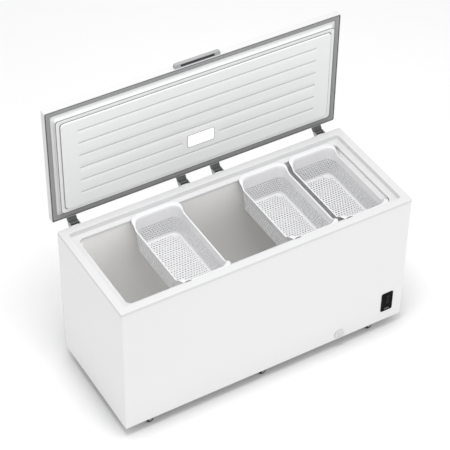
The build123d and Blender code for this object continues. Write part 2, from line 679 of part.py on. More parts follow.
def lid_gasket():
    """Magnetic seal with a hollow bellows, one ring."""
    ring = lid_slab(2.8, 2.8, SEAL_Z, SEAL_Z + SEAL_THICK - 0.05, 8)
    ring -= lid_slab(2.8 + SEAL_WIDTH, 2.8 + SEAL_WIDTH, SEAL_Z - 1, SEAL_Z + SEAL_THICK + 1, 10)
    chamber = lid_slab(8, 8, SEAL_Z + 1.4, SEAL_Z + 4.4, 6) - lid_slab(32, 32, SEAL_Z, SEAL_Z + 6, 8)
    return ring - chamber


def lamp_housing():
    """Lamp box let into the plug, with a rim that sits on the panel."""
    y = LID_BACK - LAMP_CENTRE
    z = SEAL_Z - PLUG_SECOND
    rim = slab(-LAMP_WIDTH / 2, LAMP_WIDTH / 2, y - LAMP_LENGTH / 2, y + LAMP_LENGTH / 2,
               z - 1.2, z - 0.02, 8)
    box = slab(-LAMP_WIDTH / 2 + 3.2, LAMP_WIDTH / 2 - 3.2, y - LAMP_LENGTH / 2 + 3.2,
               y + LAMP_LENGTH / 2 - 3.2, z - 1.2, z + 22, 4.8)
    inside = slab(-LAMP_WIDTH / 2 + 5, LAMP_WIDTH / 2 - 5, y - LAMP_LENGTH / 2 + 5,
                  y + LAMP_LENGTH / 2 - 5, z - 5, z + 20.5, 3.5)
    return rim + box - inside


def lamp_lens():
    """White diffuser."""
    y = LID_BACK - LAMP_CENTRE
    z = SEAL_Z - PLUG_SECOND
    lens = slab(-LAMP_WIDTH / 2 + 5.2, LAMP_WIDTH / 2 - 5.2, y - LAMP_LENGTH / 2 + 5.2,
                y + LAMP_LENGTH / 2 - 5.2, z - 1.6, z + 5, 3.3)
    return lens - slab(-LAMP_WIDTH / 2 + 7, LAMP_WIDTH / 2 - 7, y - LAMP_LENGTH / 2 + 7,
                       y + LAMP_LENGTH / 2 - 7, z + 0.4, z + 8, 2)


def lamp_board():
    """Strip of lamps on a board inside the housing."""
    y = LID_BACK - LAMP_CENTRE
    z = SEAL_Z - PLUG_SECOND + 18.9
    board = block(-60, 60, y - 22, y + 22, z, z + 1.6)
    for i in range(6):
        board += block(-48 + 18 * i - 2, -48 + 18 * i + 2, y - 2, y + 2, z - 1.2, z)
    return board


def lid_handle():
    """Pull along the front edge, with a long finger pocket underneath."""
    z0, z1 = SEAL_Z + 4.0, LID_TOP - 1.5
    y = LID_FRONT
    body = block(-HANDLE_REACH, HANDLE_REACH, y - HANDLE_OUT, y, z0, z1)
    body = fillet(body.edges().filter_by(Axis.Z).group_by(Axis.Y)[0], 9)
    body = fillet(body.edges().group_by(Axis.Z)[-1].group_by(Axis.Y)[0], 5)
    pocket = slab(-90, 90, y - HANDLE_OUT + 6.5, y - 3.0, z0 - 5, z1 - 6, 5)
    holes = [rod(dx, y - 15, (z0 + z1) / 2, 3.0, 20, "Y") for dx in (-108, 108)]
    return body - pocket - holes[0] - holes[1]


def handle_screws():
    """Two screws through the handle's ends into the lid's edge."""
    z = (SEAL_Z + 4.0 + LID_TOP - 1.5) / 2
    return [rod(dx, LID_FRONT - 14.9, z, 2.9, 14.8, "Y") for dx in (-108, 108)]


# ---- baskets ------------------------------------------------------------------------------
def basket_body(grow, z0, z1):
    """Tapered tray, loft between the floor outline and the top outline."""
    y = CENTRE_Y
    low = Pos(0, y, z0) * RectangleRounded(BASKET_WIDTH - 2 * BASKET_TAPER - 2 * grow,
                                           BASKET_LENGTH - 2 * BASKET_TAPER - 2 * grow, BASKET_LOW_R - grow)
    high = Pos(0, y, z1) * RectangleRounded(BASKET_WIDTH - 2 * grow, BASKET_LENGTH - 2 * grow,
                                            BASKET_TOP_R - grow)
    return loft([low.face(), high.face()])


def basket(x):
    """Basket with two raised grips whose flanges rest on the ledge, and lower side rims."""
    tray = basket_body(0, BASKET_FLOOR, BASKET_TOP)
    tray -= basket_body(BASKET_WALL, BASKET_FLOOR + 3, BASKET_TOP + 0.01)
    y0, y1 = CENTRE_Y - BASKET_LENGTH / 2, CENTRE_Y + BASKET_LENGTH / 2
    for side in (-1, 1):
        x0, x1 = sorted((side * (BASKET_WIDTH / 2 + 5), side * (BASKET_WIDTH / 2 - 40)))
        cut = block(x0, x1, y0 + 90, y1 - 90, BASKET_RIM, BASKET_TOP + 5)
        tray -= cut
    for y, way in ((y0, -1), (y1, 1)):
        far = y + way * 25.0
        flange = slab(-BASKET_WIDTH / 2 + 34, BASKET_WIDTH / 2 - 34,
                      min(far, y - way * 2), max(far, y - way * 2),
                      LEDGE_Z + 0.2, BASKET_TOP, 4)
        tray += flange
    return Pos(x, 0, 0) * tray


# ---- castors ------------------------------------------------------------------------------
def castor_places():
    """Swivel centres, front row first."""
    return [(x, y) for y in CASTOR_Y for x in CASTOR_X]


def castor_plates():
    """Top plates under the floor pan."""
    out = []
    for x, y in castor_places():
        plate = slab(x - 32, x + 32, y - 24, y + 24, BASE_HEIGHT - 2.5, BASE_HEIGHT, 5)
        plate -= rod(x, y, 50, KING_PIN_R + RUNNING, 20)
        for dx in (-25, 25):
            for dy in (-17, 17):
                plate -= rod(x + dx, y + dy, 50, 2.6, 20)
        out.append(plate)
    return out


def castor_screws():
    """Screws of the castor plates."""
    places = [(x + dx, y + dy, BASE_HEIGHT - 2.5) for x, y in castor_places()
              for dx in (-25, 25) for dy in (-17, 17)]
    return screws(places, 4.5, 2.4, 2.5, 2.4, "Z", -1)


def castor_fork(x, y):
    """Swivel fork with its riveted axle, as two solids."""
    half = WHEEL_WIDTH / 2 + 0.6
    axle_x = x - CASTOR_TRAIL
    fork = rod(x, y, 50.6, 15, 3.2) + rod(x, y, 53, KING_PIN_R, 5.6)
    for side in (-1, 1):
        y0, y1 = sorted((y + side * half, y + side * (half + 2)))
        cheek = rod(axle_x, y0, WHEEL_R, 7.5, 2, "Y")
        leg = Plane.XZ * make_face(Polyline(
            (axle_x - 7, WHEEL_R + 2), (x - 12, 51), (x + 12, 51), (axle_x + 7, WHEEL_R - 2),
            (axle_x - 7, WHEEL_R + 2)))
        fork += cheek + Pos(0, y1, 0) * extrude(leg, 2)
    fork += block(x - 12, x + 12, y - half - 2, y + half + 2, 50.6, 52.6)
    fork -= rod(axle_x, y - 20, WHEEL_R, AXLE_R, 40, "Y")
    axle = rod(axle_x, y - half - 2, WHEEL_R, AXLE_R, 2 * half + 4, "Y")
    axle += rod(axle_x, y - half - 3.2, WHEEL_R, 5, 1.2, "Y")
    axle += rod(axle_x, y + half + 2, WHEEL_R, 5, 1.2, "Y")
    return [fork, axle]


def castor_wheel(x, y):
    """Wheel with a softly crowned tread and its bore."""
    axle_x = x - CASTOR_TRAIL
    wheel = rod(axle_x, y - WHEEL_WIDTH / 2, WHEEL_R, WHEEL_R, WHEEL_WIDTH, "Y")
    wheel = fillet(wheel.edges().filter_by(GeomType.CIRCLE), 3)
    for y0 in (y - WHEEL_WIDTH / 2 - 1, y + WHEEL_WIDTH / 2 - 2):
        wheel -= rod(axle_x, y0, WHEEL_R, 12, 3, "Y") - rod(axle_x, y0 - 1, WHEEL_R, 6, 6, "Y")
    return wheel - rod(axle_x, y - 20, WHEEL_R, AXLE_R + RUNNING, 40, "Y")


# ---- cable inlet --------------------------------------------------------------------------
def cable_gland():
    """Grommet in the rear cover where the supply lead enters."""
    x, z = INLET
    outside = rod(x, BACK_Y + 1.25, z, 8, 5, "Y")
    return outside - rod(x, BACK_Y, z, INLET_R, 10, "Y")


def main():
    os.makedirs("parts", exist_ok=True)
    cabinet = {
        "outer_cabinet": outer_cabinet, "rear_panel": rear_panel, "base_pan": base_pan,
        "foam_insulation": foam_insulation, "room_bulkhead": room_bulkhead,
        "evaporator_coil": evaporator_coil, "condenser_coil": condenser_coil,
        "drain_tube": drain_tube, "drain_plug": drain_plug, "drain_cap": drain_cap,
        "compressor": compressor, "compressor_plate": compressor_plate, "relay_cover": relay_cover,
        "filter_drier": filter_drier, "vent_grille": vent_grille, "rear_cover": rear_cover,
        "control_fascia": control_fascia, "control_key": control_key, "control_board": control_board,
        "cable_gland": cable_gland,
    }
    for name, make in cabinet.items():
        write(name, make())
    groups = {
        "top_collar": collar, "inner_liner": inner_liner,
        "compressor_grommets": compressor_grommets, "compressor_bolts": compressor_bolts,
        "refrigerant_tubes": refrigerant_tubes, "cover_screws": cover_screws,
        "hinge_brackets": hinge_brackets, "hinge_pins": hinge_pins, "hinge_screws": hinge_screws,
        "hinge_springs": hinge_springs, "castor_plates": castor_plates, "castor_screws": castor_screws,
    }
    for name, make in groups.items():
        write(name, Compound(children=make()))

    # the lid parts are drawn closed and turned open about the hinge pins
    opened = Pos(0, HINGE_Y, HINGE_Z) * Rot(-90, 0, 0) * Pos(0, -HINGE_Y, -HINGE_Z)
    lid = {
        "lid_outer_panel": lid_outer_panel, "lid_inner_liner": lid_inner_liner, "lid_foam": lid_foam,
        "lid_gasket": lid_gasket, "lamp_housing": lamp_housing, "lamp_lens": lamp_lens,
        "lamp_board": lamp_board, "lid_handle": lid_handle,
    }
    for name, make in lid.items():
        write(name, opened * make())
    for name, make in {"hinge_arms": hinge_arms, "handle_screws": handle_screws}.items():
        write(name, Compound(children=[opened * piece for piece in make()]))

    for i, x in enumerate(BASKET_X, 1):
        write(f"basket_{i}", basket(x))
    for i, (x, y) in enumerate(castor_places(), 1):
        write(f"castor_fork_{i}", Compound(children=castor_fork(x, y)))
        write(f"castor_wheel_{i}", castor_wheel(x, y))


main()
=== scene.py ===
import math
import bmesh
import bpy
import numpy as np
from mathutils import Matrix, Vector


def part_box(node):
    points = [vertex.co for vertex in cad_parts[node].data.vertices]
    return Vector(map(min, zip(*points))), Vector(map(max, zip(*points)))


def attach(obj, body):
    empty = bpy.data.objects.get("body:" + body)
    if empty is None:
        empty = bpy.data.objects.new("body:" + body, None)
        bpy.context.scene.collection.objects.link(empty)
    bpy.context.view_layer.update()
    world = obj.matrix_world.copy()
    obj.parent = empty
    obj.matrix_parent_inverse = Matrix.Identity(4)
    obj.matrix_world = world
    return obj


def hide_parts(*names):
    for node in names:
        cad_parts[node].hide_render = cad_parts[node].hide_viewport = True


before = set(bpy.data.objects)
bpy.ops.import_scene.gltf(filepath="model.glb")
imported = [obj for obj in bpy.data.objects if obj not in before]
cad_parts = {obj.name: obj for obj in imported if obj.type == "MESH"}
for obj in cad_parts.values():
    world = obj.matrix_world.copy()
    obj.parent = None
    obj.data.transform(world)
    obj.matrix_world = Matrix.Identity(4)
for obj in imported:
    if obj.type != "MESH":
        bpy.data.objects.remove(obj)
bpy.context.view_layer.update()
print("frame loaded, nodes:", len(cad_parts))

mm = 0.001


# s * s * (3 - 2 s), with s clipped to 0..1
def ease(s):
    s = np.clip(s, 0.0, 1.0)
    return s * s * (3.0 - 2.0 * s)


# a code from -2 to 2 names a line across a rounded rectangle: -1..1 is the straight middle,
# and past 1 is the corner zone, steps by steps
def lineCodes(middle, cornerSteps):
    corner = np.linspace(0.0, 1.0, cornerSteps + 1)
    return np.concatenate([corner - 2.0, middle[1:-1], corner + 1.0])


# x = clip(cx) (a - r) + sign r sx sqrt(1 - sy^2 / 2), and the same for y: the square's corner
# zone of side r is bent onto a quarter disc, everything else stays straight
def roundedSpot(cx, cy, a, b, r):
    sx = np.clip(np.abs(cx) - 1.0, 0.0, 1.0)
    sy = np.clip(np.abs(cy) - 1.0, 0.0, 1.0)
    x = np.clip(cx, -1.0, 1.0) * (a - r) + np.sign(cx) * r * sx * np.sqrt(1.0 - sy ** 2 / 2.0)
    y = np.clip(cy, -1.0, 1.0) * (b - r) + np.sign(cy) * r * sy * np.sqrt(1.0 - sx ** 2 / 2.0)
    return x, y


# the border of a grid of line codes, once round anticlockwise from the low corner
def borderCodes(codesX, codesY):
    low, high = np.full(len(codesX) - 1, -2.0), np.full(len(codesX) - 1, 2.0)
    left, right = np.full(len(codesY) - 1, -2.0), np.full(len(codesY) - 1, 2.0)
    cx = np.concatenate([codesX[:-1], right, codesX[:0:-1], left])
    cy = np.concatenate([low, codesY[:-1], high, codesY[:0:-1]])
    return cx, cy


# quads of a columns by rows grid of points stored column by column; either way may close on itself
def gridQuads(columns, rows, closeColumns=False, closeRows=False):
    i, j = np.meshgrid(np.arange(columns if closeColumns else columns - 1),
                       np.arange(rows if closeRows else rows - 1), indexing="ij")
    i, j = i.ravel(), j.ravel()
    nextI, nextJ = (i + 1) % columns, (j + 1) % rows
    return np.stack([i * rows + j, nextI * rows + j, nextI * rows + nextJ, i * rows + nextJ], 1)


# sum of a . (b x c) / 6 over the triangles of every quad
def signedVolume(points, quads):
    a, b, c, d = (points[quads[:, k]] for k in range(4))
    halves = np.einsum("ij,ij->i", a, np.cross(b, c)) + np.einsum("ij,ij->i", a, np.cross(c, d))
    return float(halves.sum() / 6)


# points in metres and faces go into a mesh; doubles are merged and sharp turns keep a crease;
# kinds gives each face the number of its finish: 0 is material, 1 on are the others
def makePiece(name, points, faces, material, body, crease=35.0, merge=True, others=(), kinds=None):
    mesh = bpy.data.meshes.new(name)
    mesh.from_pydata(np.asarray(points, float).tolist(), [], [list(map(int, f)) for f in faces])
    for used in (material, *others):
        mesh.materials.append(used)
    if kinds is not None:
        mesh.polygons.foreach_set("material_index", np.asarray(kinds, np.int32))
    if merge:
        work = bmesh.new()
        work.from_mesh(mesh)
        bmesh.ops.remove_doubles(work, verts=work.verts, dist=2e-6)
        work.to_mesh(mesh)
        work.free()
    mesh.polygons.foreach_set("use_smooth", np.ones(len(mesh.polygons), bool))
    mesh.set_sharp_from_angle(angle=math.radians(crease))
    piece = bpy.data.objects.new(name, mesh)
    bpy.context.scene.collection.objects.link(piece)
    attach(piece, body)
    return piece


# a live wall behind the surface: every point moves against its normal by the thickness
def thicken(piece, thickness):
    wall = piece.modifiers.new("wall", "SOLIDIFY")
    wall.thickness = thickness
    wall.offset = -1.0
    wall.use_even_offset = False


# value noise on object coordinates, scaled per axis
def noiseNode(tree, scale, detail=3.0, stretch=(1.0, 1.0, 1.0)):
    coords = tree.nodes.new("ShaderNodeTexCoord")
    place = tree.nodes.new("ShaderNodeMapping")
    place.inputs["Scale"].default_value = stretch
    noise = tree.nodes.new("ShaderNodeTexNoise")
    noise.inputs["Scale"].default_value = scale
    noise.inputs["Detail"].default_value = detail
    tree.links.new(coords.outputs["Object"], place.inputs["Vector"])
    tree.links.new(place.outputs["Vector"], noise.inputs["Vector"])
    return noise


# colour = mix(colour, colour * shade, broad noise); roughness = rough +- spread by a finer noise;
# bump = grain noise of the given size and depth
def finish(name, colour, rough, metal=0.0, coat=0.0, shade=0.96, patch=3.0, spread=0.05, smear=40.0,
           grain=900.0, depth=0.00004, stretch=(1.0, 1.0, 1.0), glow=0.0, specular=0.5):
    material = bpy.data.materials.new(name)
    material.use_nodes = True
    tree = material.node_tree
    shader = tree.nodes["Principled BSDF"]
    shader.inputs["Metallic"].default_value = metal
    shader.inputs["Coat Weight"].default_value = coat
    shader.inputs["Coat Roughness"].default_value = 0.08
    shader.inputs["Specular IOR Level"].default_value = specular
    if glow:
        shader.inputs["Emission Color"].default_value = (*colour, 1.0)
        shader.inputs["Emission Strength"].default_value = glow
    mix = tree.nodes.new("ShaderNodeMix")
    mix.data_type = "RGBA"
    mix.inputs["A"].default_value = (*colour, 1.0)
    mix.inputs["B"].default_value = (*[c * shade for c in colour], 1.0)
    tree.links.new(noiseNode(tree, patch, 4.0).outputs["Fac"], mix.inputs["Factor"])
    tree.links.new(mix.outputs["Result"], shader.inputs["Base Color"])
    span = tree.nodes.new("ShaderNodeMapRange")
    span.inputs["To Min"].default_value = max(0.02, rough - spread)
    span.inputs["To Max"].default_value = rough + spread
    tree.links.new(noiseNode(tree, smear, 5.0, stretch).outputs["Fac"], span.inputs["Value"])
    tree.links.new(span.outputs["Result"], shader.inputs["Roughness"])
    bump = tree.nodes.new("ShaderNodeBump")
    bump.inputs["Strength"].default_value = 1.0
    bump.inputs["Distance"].default_value = depth
    tree.links.new(noiseNode(tree, grain, 2.0, stretch).outputs["Fac"], bump.inputs["Height"])
    tree.links.new(bump.outputs["Normal"], shader.inputs["Normal"])
    return material


# cellular foam: bump from the distance to scattered cell centres, colour from the broad noise
def foamFinish():
    material = finish("foamCells", (0.72, 0.62, 0.36), 0.9, shade=0.8, patch=12.0, grain=260.0, depth=0.0006)
    tree = material.node_tree
    cells = tree.nodes.new("ShaderNodeTexVoronoi")
    cells.inputs["Scale"].default_value = 320.0
    coords = tree.nodes.new("ShaderNodeTexCoord")
    tree.links.new(coords.outputs["Object"], cells.inputs["Vector"])
    bump = next(n for n in tree.nodes if n.type == "BUMP")
    tree.links.new(cells.outputs["Distance"], bump.inputs["Height"])
    return material


whiteEnamel = finish("whiteEnamel", (0.78, 0.78, 0.78), 0.34, coat=0.15, shade=0.985, patch=1.5,
                     spread=0.04, smear=9.0, grain=420.0, depth=0.00003)
lidEnamel = finish("lidEnamel", (0.67, 0.67, 0.67), 0.34, coat=0.15, shade=0.985, patch=1.5, spread=0.04,
                   smear=9.0, grain=420.0, depth=0.00003)
collarWhite = finish("collarPlastic", (0.67, 0.67, 0.675), 0.42, shade=0.98, patch=4.0, grain=1500.0,
                     depth=0.00005)
tubWhite = finish("tubEnamel", (0.88, 0.875, 0.865), 0.40, shade=0.975, patch=2.0, grain=700.0,
                  depth=0.00004)
lidWhite = finish("lidLinerPlastic", (0.77, 0.775, 0.775), 0.45, shade=0.985, patch=3.0, grain=1300.0,
                  depth=0.00005)
# painted shade: a dark grey laid on the lid liner's creases, where shade falls
creaseShadeGrey = finish("paintedCreaseShade", (0.27, 0.27, 0.275), 0.6, shade=0.9, patch=20.0, grain=1300.0,
                  depth=0.00005)
# painted shade: a darker copy of the lid liner's white for the faces of the rib grooves
ribGrooveShade = finish("ribShade", (0.57, 0.575, 0.575), 0.5, shade=0.97, patch=20.0, grain=1300.0, depth=0.00005)
# painted shade: a near black laid in the seal's groove, where a shadow falls
sealShadeDark = finish("paintedSealShade", (0.13, 0.13, 0.135), 0.7, shade=0.9, patch=14.0, specular=0.2)
sealGrey = finish("sealRubber", (0.30, 0.30, 0.305), 0.62, shade=0.9, patch=14.0, grain=2200.0,
                  depth=0.00006, specular=0.3)
handleGrey = finish("handlePlastic", (0.36, 0.365, 0.37), 0.45, shade=0.95, patch=10.0, grain=2600.0,
                    depth=0.00005)
hingeGrey = finish("hingeEnamel", (0.085, 0.088, 0.09), 0.45, metal=0.1, shade=0.85, patch=25.0,
                   grain=1600.0, depth=0.00004)
hingeCheek = finish("hingeCheeks", (0.50, 0.505, 0.51), 0.4, metal=0.3, shade=0.9, patch=25.0, grain=1600.0,
                    depth=0.00004)
basketWhite = finish("basketPlastic", (0.76, 0.76, 0.77), 0.38, shade=0.975, patch=8.0, grain=1900.0,
                     depth=0.00004)
# painted shade: a dark grey for the inside of the handle's pocket, where shade falls
pocketShade = finish("handlePocketShade", (0.15, 0.15, 0.155), 0.6, shade=0.8, patch=40.0)
slotShade = finish("slotShadow", (0.22, 0.22, 0.225), 0.7, shade=0.8, patch=60.0)
lampWhite = finish("lampDiffuser", (0.95, 0.95, 0.95), 0.5, shade=0.99, glow=0.35, grain=1800.0,
                   depth=0.0001, stretch=(1.0, 1.0, 0.05))
lampFrame = finish("lampSurround", (0.52, 0.525, 0.53), 0.45, shade=0.95, patch=20.0)
panelBlack = finish("panelGloss", (0.004, 0.004, 0.005), 0.16, specular=0.03, shade=0.8, patch=20.0,
                    spread=0.03, grain=300.0, depth=0.00001)
markGrey = finish("panelPrint", (0.14, 0.14, 0.145), 0.5, shade=0.8, patch=200.0)
keyGrey = finish("keyPlastic", (0.10, 0.10, 0.105), 0.35, shade=0.9, patch=60.0)
capWhite = finish("capPlastic", (0.66, 0.66, 0.66), 0.4, shade=0.98, patch=12.0, grain=1800.0,
                  depth=0.00005)
trimWhite = finish("trimPlastic", (0.78, 0.78, 0.78), 0.4, shade=0.98, patch=12.0, grain=1800.0,
                   depth=0.00005)
galvanised = finish("galvanisedSheet", (0.42, 0.43, 0.44), 0.42, metal=0.9, shade=0.72, patch=18.0,
                    spread=0.12, smear=22.0, grain=500.0, depth=0.00003)
zincSteel = finish("zincScrews", (0.55, 0.55, 0.56), 0.3, metal=1.0, shade=0.8, patch=120.0, grain=1500.0)
castorSteel = finish("castorSteel", (0.48, 0.48, 0.49), 0.36, metal=0.95, shade=0.8, patch=60.0,
                     grain=1200.0)
wheelBlack = finish("wheelRubber", (0.022, 0.022, 0.023), 0.55, shade=0.7, patch=40.0, grain=1800.0,
                    depth=0.0001)
blackEnamel = finish("potEnamel", (0.012, 0.012, 0.013), 0.25, coat=0.4, shade=0.7, patch=20.0, grain=300.0,
                     depth=0.00008)
blackPlastic = finish("blackPlastic", (0.02, 0.02, 0.021), 0.5, shade=0.75, patch=40.0, grain=1500.0,
                      depth=0.0001)
copperTube = finish("copperTube", (0.72, 0.33, 0.19), 0.28, metal=1.0, shade=0.7, patch=30.0, spread=0.1)
coilMetal = finish("coilMetal", (0.60, 0.60, 0.61), 0.35, metal=1.0, shade=0.8, patch=30.0)
boardGreen = finish("circuitBoard", (0.02, 0.10, 0.04), 0.4, shade=0.6, patch=300.0)
drainRubber = finish("bungRubber", (0.55, 0.55, 0.55), 0.6, shade=0.9, patch=60.0, grain=2500.0,
                     depth=0.0001)
foamCells = foamFinish()
print("finishes made:", len(bpy.data.materials))

nodeFinish = {
    "outer_cabinet": whiteEnamel, "lid_outer_panel": lidEnamel, "rear_panel": galvanised,
    "base_pan": galvanised, "room_bulkhead": galvanised, "rear_cover": galvanised,
    "compressor_plate": galvanised, "castor_plates": galvanised,
    "foam_insulation": foamCells, "lid_foam": foamCells,
    "evaporator_coil": coilMetal, "condenser_coil": coilMetal, "refrigerant_tubes": copperTube,
    "filter_drier": copperTube, "compressor": blackEnamel, "compressor_grommets": blackPlastic,
    "cable_gland": blackPlastic, "relay_cover": blackPlastic, "compressor_bolts": zincSteel,
    "cover_screws": zincSteel, "hinge_pins": zincSteel, "hinge_screws": zincSteel, "hinge_springs": zincSteel,
    "castor_screws": zincSteel, "handle_screws": zincSteel, "drain_tube": trimWhite, "drain_cap": capWhite,
    "vent_grille": trimWhite, "lamp_housing": lampFrame, "drain_plug": drainRubber,
    "control_fascia": panelBlack, "control_key": keyGrey,
    "control_board": boardGreen, "lamp_board": boardGreen,
    "hinge_brackets": hingeCheek, "hinge_arms": hingeGrey, "lamp_lens": lampWhite,
}
for number in range(1, 7):
    nodeFinish[f"castor_fork_{number}"] = castorSteel
    nodeFinish[f"castor_wheel_{number}"] = wheelBlack
for name, material in nodeFinish.items():
    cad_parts[name].data.materials.clear()
    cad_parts[name].data.materials.append(material)


# the collar runs round the cabinet's top: lip, flat rim, step down and basket ledge
collarLow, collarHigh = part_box("top_collar")
cabinetHalfX = (collarHigh.x - collarLow.x) / 2
cabinetHalfY = (collarHigh.y - collarLow.y) / 2
cabinetMidY = (collarHigh.y + collarLow.y) / 2
rimTop = collarHigh.z

collar = {
    "rimSide": 41 * mm, "rimLong": 44 * mm,      # flat rim at the ends, and along front and back
    "ledgeSide": 75 * mm, "ledgeLong": 74 * mm,  # outside to the inner edge of the basket ledge
    "ledgeDrop": 30 * mm, "lip": 16 * mm, "wall": 2.5 * mm, "skirt": 14 * mm, "skirtWall": 1.7 * mm,
    "outerEdge": 2.4 * mm, "innerEdge": 3.5 * mm, "foot": 3.0 * mm,
    "cornerOut": 7 * mm, "cornerRim": 14 * mm, "cornerLedge": 28 * mm,
}


# points on a quarter circle about (x, z), from one angle in degrees to the other
def arcPoints(x, z, radius, start, end, steps=5):
    t = np.radians(np.linspace(start, end, steps))
    return np.stack([x + radius * np.cos(t), z + radius * np.sin(t)], 1)


# a closed profile of (inset, height) carried round a rounded rectangle: each profile point has its own
# half sizes (outline - inset) and its own corner radius, so P(i, j) = roundedSpot(code i, size j)
def carryRound(profile, halfX, halfY, radii, longExtra, cornerSteps=6):
    codes = lineCodes(np.linspace(-1.0, 1.0, 3), cornerSteps)
    cx, cy = borderCodes(codes, codes)
    inset, height = profile[:, 0], profile[:, 1]
    x, y = roundedSpot(cx[:, None], cy[:, None], halfX - inset, halfY - inset - longExtra, radii)
    return np.stack([x, y, np.broadcast_to(height, x.shape)], 2), len(cx)


# the section as (inset from the outside, height above the rim), clockwise from the foot of the outer lip
def makeCollar():
    c = collar
    r, e = c["innerEdge"], c["outerEdge"]
    f, side, ledge = c["foot"], c["rimSide"], c["ledgeSide"]
    profile = np.vstack([
        [(0.0, -c["lip"]), (0.0, -c["lip"] * 0.55)],
        arcPoints(e, -e, e, 180, 90),
        arcPoints(side - r, -r, r, 90, 0),
        arcPoints(side + f, -c["ledgeDrop"] + f, f, 180, 270),
        arcPoints(ledge - 1.5 * mm, -c["ledgeDrop"] - 1.5 * mm, 1.5 * mm, 90, 0),
        [(ledge, -c["ledgeDrop"] - c["skirt"]), (ledge - c["skirtWall"], -c["ledgeDrop"] - c["skirt"]),
         (ledge - c["skirtWall"], -c["ledgeDrop"] - c["wall"]),
         (side - c["wall"], -c["ledgeDrop"] - c["wall"]),
         (side - c["wall"], -3 * mm), (1.4 * mm, -3 * mm), (1.4 * mm, -c["lip"])]])
    radii = np.interp(profile[:, 0], [0, side, ledge], [c["cornerOut"], c["cornerRim"], c["cornerLedge"]])
    extra = np.interp(profile[:, 0], [0, side * 0.5, side, ledge],
                      [0, 0, c["rimLong"] - side, c["ledgeLong"] - ledge])
    points, columns = carryRound(profile, cabinetHalfX, cabinetHalfY, radii, extra)
    points[:, :, 1] += cabinetMidY
    points[:, :, 2] += rimTop
    points = points.reshape(-1, 3)
    quads = gridQuads(columns, len(profile), True, True)
    if signedVolume(points, quads) < 0:
        quads = quads[:, ::-1]
    piece = makePiece("collarFrame", points, quads, collarWhite, "cabinet")
    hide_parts("top_collar")


makeCollar()

tub = {
    "halfX": 752 * mm, "halfY": 262 * mm, "floor": 130 * mm, "stepX": 470 * mm, "stepTop": 360 * mm,
    "top": 821.5 * mm, "round": 26 * mm, "corner": 30 * mm, "wall": 1.5 * mm, "steps": 6,
    "drainMouthShadow": 10.8 * mm,
}


# the tub's outline seen from the front, open at the top: down the left wall, along the floor, up the
# compressor step, along the shelf and up the right wall, drawn inwards by offset with round corners
def tubOutline(offset):
    t = tub
    r, outer = t["corner"] - offset, t["corner"] * 0.4 + offset
    left, right, step = -t["halfX"] + offset, t["halfX"] - offset, t["stepX"] - offset
    low, shelf = t["floor"] + offset, t["stepTop"] + offset
    n = t["steps"]
    return np.vstack([
        [(left, t["top"])], arcPoints(left + r, low + r, r, 180, 270, n),
        arcPoints(step - r, low + r, r, 270, 360, n),
        arcPoints(step + outer, shelf - outer, outer, 180, 90, n),
        arcPoints(right - r, shelf + r, r, 270, 360, n), [(right, t["top"])]])


# P(i, k): outline i drawn in by R (1 - sin a), at a depth of R (1 - cos a) behind the front wall, and the
# same mirrored at the back; the two flat walls are one face each
def makeTub():
    t = tub
    angle = np.radians(np.linspace(0, 90, t["steps"]))
    offsets = t["round"] * (1 - np.sin(angle))
    depths = -t["halfY"] + t["round"] * (1 - np.cos(angle))
    offsets, depths = np.concatenate([offsets, offsets[::-1]]), np.concatenate([depths, -depths[::-1]])
    rings = [tubOutline(o) for o in offsets]
    points = np.stack([np.stack([ring[:, 0], np.full(len(ring), cabinetMidY + d), ring[:, 1]], 1)
                       for ring, d in zip(rings, depths)])
    rows = points.shape[1]
    quads = gridQuads(len(rings), rows)
    faces = [list(q) for q in quads]
    last = (len(rings) - 1) * rows
    faces.append(list(range(rows)))
    faces.append(list(range(last, last + rows))[::-1])
    piece = makePiece("tubShell", points.reshape(-1, 3), faces, tubWhite, "cabinet", crease=50.0)
    middle = np.array([0.0, cabinetMidY, 0.5])
    towards = sum(float((middle - np.array(p.center)) @ np.array(p.normal)) > 0 for p in piece.data.polygons)
    if towards < len(piece.data.polygons) / 2:
        piece.data.flip_normals()
    for wall in list(piece.data.polygons)[-2:]:
        wall.use_smooth = False
    thicken(piece, t["wall"])
    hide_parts("inner_liner")


makeTub()
print("cabinet top and tub made")


# everything on the lid is placed from the open lid's own box
lidLow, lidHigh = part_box("lid_outer_panel")
lidHalfX = (lidHigh.x - lidLow.x) / 2
lidHalfLength = (lidHigh.z - lidLow.z) / 2
lidThick = 40 * mm
sealY = lidHigh.y - lidThick  # the seal's plane while the lid stands open
lidMidZ = (lidHigh.z + lidLow.z) / 2


# lid coordinates (x, up from the lid's middle, out from the seal's plane) to the open lid's place
def onLid(x, up, out):
    return np.stack([x, sealY - out, lidMidZ + up], -1)


liner = {
    "plugSide": 45 * mm, "plugLong": 51.5 * mm, "plateau": 24 * mm, "first": 18.6 * mm, "second": 25.6 * mm,
    "flange": -6 * mm, "edge": 3 * mm, "cornerFlange": 8 * mm, "cornerPlug": 16 * mm, "cornerPanel": 20 * mm,
    "ribReach": 672 * mm, "ribFirst": 154 * mm, "ribPitch": 76 * mm, "ribCount": 6, "ribHalf": 5.4 * mm,
    "ribDeep": 2.0 * mm, "lampGap": 104 * mm, "crease": 1.0 * mm, "wall": 1.2 * mm,
}


# groove depth at (x, up): ribDeep * (1 - ease(distance to the rib's centre line / half width)), summed over
# the ribs; the second rib from the hinges stops at either side of the lamp
def ribDepth(x, up):
    p = liner
    depth = np.zeros(np.broadcast(x, up).shape)
    for i in range(p["ribCount"]):
        across = up - (-lidHalfLength + p["ribFirst"] + p["ribPitch"] * i)
        past = np.maximum(np.abs(x) - (p["ribReach"] - p["ribHalf"]), 0)
        if i == 1:
            past = past + np.maximum(p["lampGap"] + p["ribHalf"] - np.abs(x), 0)
        far = np.hypot(across, past) / p["ribHalf"]
        depth = depth + p["ribDeep"] * (1 - ease((far - 0.35) / 0.65))
    return depth


